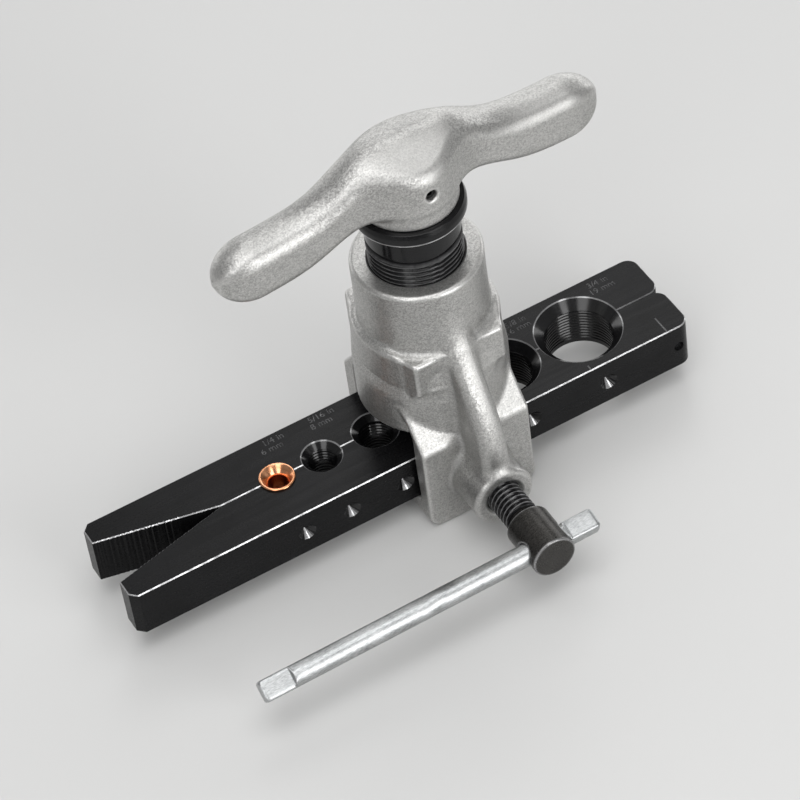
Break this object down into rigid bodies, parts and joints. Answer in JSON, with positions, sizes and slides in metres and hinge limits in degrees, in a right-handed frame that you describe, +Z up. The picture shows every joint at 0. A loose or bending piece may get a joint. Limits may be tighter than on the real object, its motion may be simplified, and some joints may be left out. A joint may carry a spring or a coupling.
{
  "type": "flaring tool",
  "caption": "Split die bar with a sliding yoke, T-handle feed screw, off-centre flaring cone and side clamp screw, for flaring copper tube ends.",
  "frame": {"origin": "on the axis of the fourth die (12.7 mm tube), at the underside of the die bar", "axes": "+X along the die bar towards its nose, +Y to the back, away from the clamp screw, +Z up along the feed screw"},
  "size_m": [0.1705, 0.0842, 0.118],
  "materials": {
    "black_oxide": "blackened, semi-gloss",
    "silver_casting": "fine blasted, metallic silver",
    "black_steel": "blackened, turned",
    "bright_steel": "ground",
    "zinc": "bright zinc plate",
    "bronze": "turned",
    "copper": "bright copper"
  },
  "bodies": {
    "rear_jaw": {"rear_die_bar": "black_oxide", "fulcrum_pin": "bright_steel", "copper_tube": "copper"},
    "front_jaw": {"front_die_bar": "black_oxide", "guide_dowel": "bright_steel"},
    "yoke": {"yoke": "silver_casting"},
    "feed_carrier": {"thrust_ball": "bright_steel"},
    "feed": {"feed_screw": "black_steel", "stop_collar": "black_steel", "handle": "silver_casting", "handle_set_screw": "black_steel", "bearing_shell": "bright_steel", "needle_rollers": "bright_steel", "cone_thrust_washer": "bronze", "cone_retaining_ring": "black_steel"},
    "cone": {"flaring_cone": "bright_steel"},
    "clamp_carrier": {"clamp_point": "bright_steel"},
    "clamp": {"clamp_screw": "black_steel", "point_snap_ring": "black_steel"},
    "tommy": {"tommy_bar": "zinc"}
  },
  "joints": [
    {"name": "jaw_hinge", "type": "hinge", "parent": "rear_jaw", "child": "front_jaw", "pos_m": [-0.063, 0, 0.0075], "axis": [0, 0, 1], "range_deg": [-0.85, 0]},
    {"name": "yoke_slide", "type": "slide", "parent": "rear_jaw", "child": "yoke", "axis": [1, 0, 0], "range_m": [-0.0489, 0.0442]},
    {"name": "feed_slide", "type": "slide", "parent": "yoke", "child": "feed_carrier", "axis": [0, 0, -1], "range_m": [-0.003, 0.015]},
    {"name": "handle_turn", "type": "hinge", "parent": "feed_carrier", "child": "feed", "pos_m": [0, 0, 0.09], "axis": [0, 0, -1], "range_deg": [-720, 3600]},
    {"name": "cone_spin", "type": "hinge", "parent": "feed", "child": "cone", "pos_m": [0.0012, 0, 0.04], "axis": [0, 0, 1], "continuous": true},
    {"name": "clamp_feed", "type": "slide", "parent": "yoke", "child": "clamp_carrier", "axis": [0, 1, 0], "range_m": [-0.009, 0.00375]},
    {"name": "clamp_turn", "type": "hinge", "parent": "clamp_carrier", "child": "clamp", "pos_m": [0, -0.045, 0.0075], "axis": [0, 1, 0], "range_deg": [-2160, 900]},
    {"name": "tommy_slide", "type": "slide", "parent": "clamp", "child": "tommy", "axis": [0.9999, 0, 0.014], "range_m": [0, 0.0688]}
  ],
  "couplings": [
    {"joint": "feed_slide", "follows": "handle_turn", "m_per_rad": 0.00023873},
    {"joint": "clamp_feed", "follows": "clamp_turn", "m_per_rad": 0.00023873}
  ]
}
